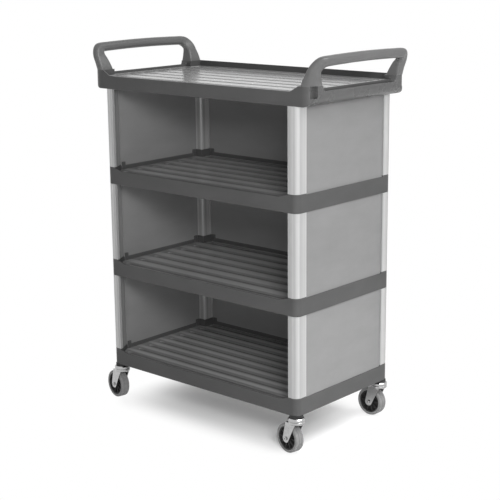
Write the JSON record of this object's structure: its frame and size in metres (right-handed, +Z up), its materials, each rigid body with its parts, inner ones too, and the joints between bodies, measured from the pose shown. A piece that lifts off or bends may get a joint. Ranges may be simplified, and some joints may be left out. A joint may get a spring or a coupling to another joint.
{
  "type": "trolley",
  "caption": "Open-fronted tiered service trolley: moulded trays on bright corner posts with side and back panels, end handles and swivel casters",
  "frame": {"origin": "on the floor under the middle of the trolley", "axes": "X along the length towards the right handle, front (open side) faces -Y, Z up"},
  "size_m": [1.0364, 0.514, 1.299],
  "materials": {
    "tray_plastic": "moulded grey, faint grain",
    "handle_plastic": "moulded grey, faint grain",
    "panel_plastic": "smooth mid grey sheet",
    "post_aluminium": "satin anodised, drawn along its length",
    "caster_chrome": "bright plated pressed steel",
    "hardware_steel": "zinc plated",
    "caster_black": "black moulded",
    "tyre_rubber": "light grey, non-marking"
  },
  "bodies": {
    "frame": {"tray_top": "tray_plastic", "shelf_upper": "tray_plastic", "shelf_middle": "tray_plastic", "shelf_bottom": "tray_plastic", "handle_left": "handle_plastic", "handle_right": "handle_plastic", "post_lower_front_left": "post_aluminium", "post_lower_front_right": "post_aluminium", "post_lower_rear_left": "post_aluminium", "post_lower_rear_right": "post_aluminium", "post_middle_front_left": "post_aluminium", "post_middle_front_right": "post_aluminium", "post_middle_rear_left": "post_aluminium", "post_middle_rear_right": "post_aluminium", "post_upper_front_left": "post_aluminium", "post_upper_front_right": "post_aluminium", "post_upper_rear_left": "post_aluminium", "post_upper_rear_right": "post_aluminium", "panel_lower_left": "panel_plastic", "panel_lower_right": "panel_plastic", "panel_lower_back": "panel_plastic", "panel_middle_left": "panel_plastic", "panel_middle_right": "panel_plastic", "panel_middle_back": "panel_plastic", "panel_upper_left": "panel_plastic", "panel_upper_right": "panel_plastic", "panel_upper_back": "panel_plastic", "tie_rods": "hardware_steel", "rod_inserts": "hardware_steel", "stem_inserts": "hardware_steel", "handle_screws": "hardware_steel", "caster_front_left_stem": "caster_chrome", "caster_front_left_collar": "caster_black", "caster_front_right_stem": "caster_chrome", "caster_front_right_collar": "caster_black", "caster_rear_left_stem": "caster_chrome", "caster_rear_left_collar": "caster_black", "caster_rear_right_stem": "caster_chrome", "caster_rear_right_collar": "caster_black"},
    "swivel_front_left": {"caster_front_left_fork": "caster_chrome", "caster_front_left_axle": "caster_chrome", "caster_front_left_nut": "hardware_steel"},
    "wheel_front_left": {"caster_front_left_hub": "caster_black", "caster_front_left_tyre": "tyre_rubber"},
    "swivel_front_right": {"caster_front_right_fork": "caster_chrome", "caster_front_right_axle": "caster_chrome", "caster_front_right_nut": "hardware_steel"},
    "wheel_front_right": {"caster_front_right_hub": "caster_black", "caster_front_right_tyre": "tyre_rubber"},
    "swivel_rear_left": {"caster_rear_left_fork": "caster_chrome", "caster_rear_left_axle": "caster_chrome", "caster_rear_left_nut": "hardware_steel"},
    "wheel_rear_left": {"caster_rear_left_hub": "caster_black", "caster_rear_left_tyre": "tyre_rubber"},
    "swivel_rear_right": {"caster_rear_right_fork": "caster_chrome", "caster_rear_right_axle": "caster_chrome", "caster_rear_right_nut": "hardware_steel"},
    "wheel_rear_right": {"caster_rear_right_hub": "caster_black", "caster_rear_right_tyre": "tyre_rubber"}
  },
  "joints": [
    {"name": "caster_front_left_swivel", "type": "hinge", "parent": "frame", "child": "swivel_front_left", "pos_m": [-0.414, -0.229, 0.11], "axis": [0, 0, 1], "continuous": true},
    {"name": "caster_front_left_roll", "type": "hinge", "parent": "swivel_front_left", "child": "wheel_front_left", "pos_m": [-0.44354, -0.22379, 0.05], "axis": [0.1736, 0.9848, 0], "continuous": true},
    {"name": "caster_front_right_swivel", "type": "hinge", "parent": "frame", "child": "swivel_front_right", "pos_m": [0.414, -0.229, 0.11], "axis": [0, 0, 1], "continuous": true},
    {"name": "caster_front_right_roll", "type": "hinge", "parent": "swivel_front_right", "child": "wheel_front_right", "pos_m": [0.38437, -0.22431, 0.05], "axis": [0.1564, 0.9877, 0], "continuous": true},
    {"name": "caster_rear_left_swivel", "type": "hinge", "parent": "frame", "child": "swivel_rear_left", "pos_m": [-0.414, 0.229, 0.11], "axis": [0, 0, 1], "continuous": true},
    {"name": "caster_rear_left_roll", "type": "hinge", "parent": "swivel_rear_left", "child": "wheel_rear_left", "pos_m": [-0.44389, 0.23161, 0.05], "axis": [0.0872, 0.9962, 0], "continuous": true},
    {"name": "caster_rear_right_swivel", "type": "hinge", "parent": "frame", "child": "swivel_rear_right", "pos_m": [0.414, 0.229, 0.11], "axis": [0, 0, 1], "continuous": true},
    {"name": "caster_rear_right_roll", "type": "hinge", "parent": "swivel_rear_right", "child": "wheel_rear_right", "pos_m": [0.384, 0.229, 0.05], "axis": [0, 1, 0], "continuous": true}
  ]
}
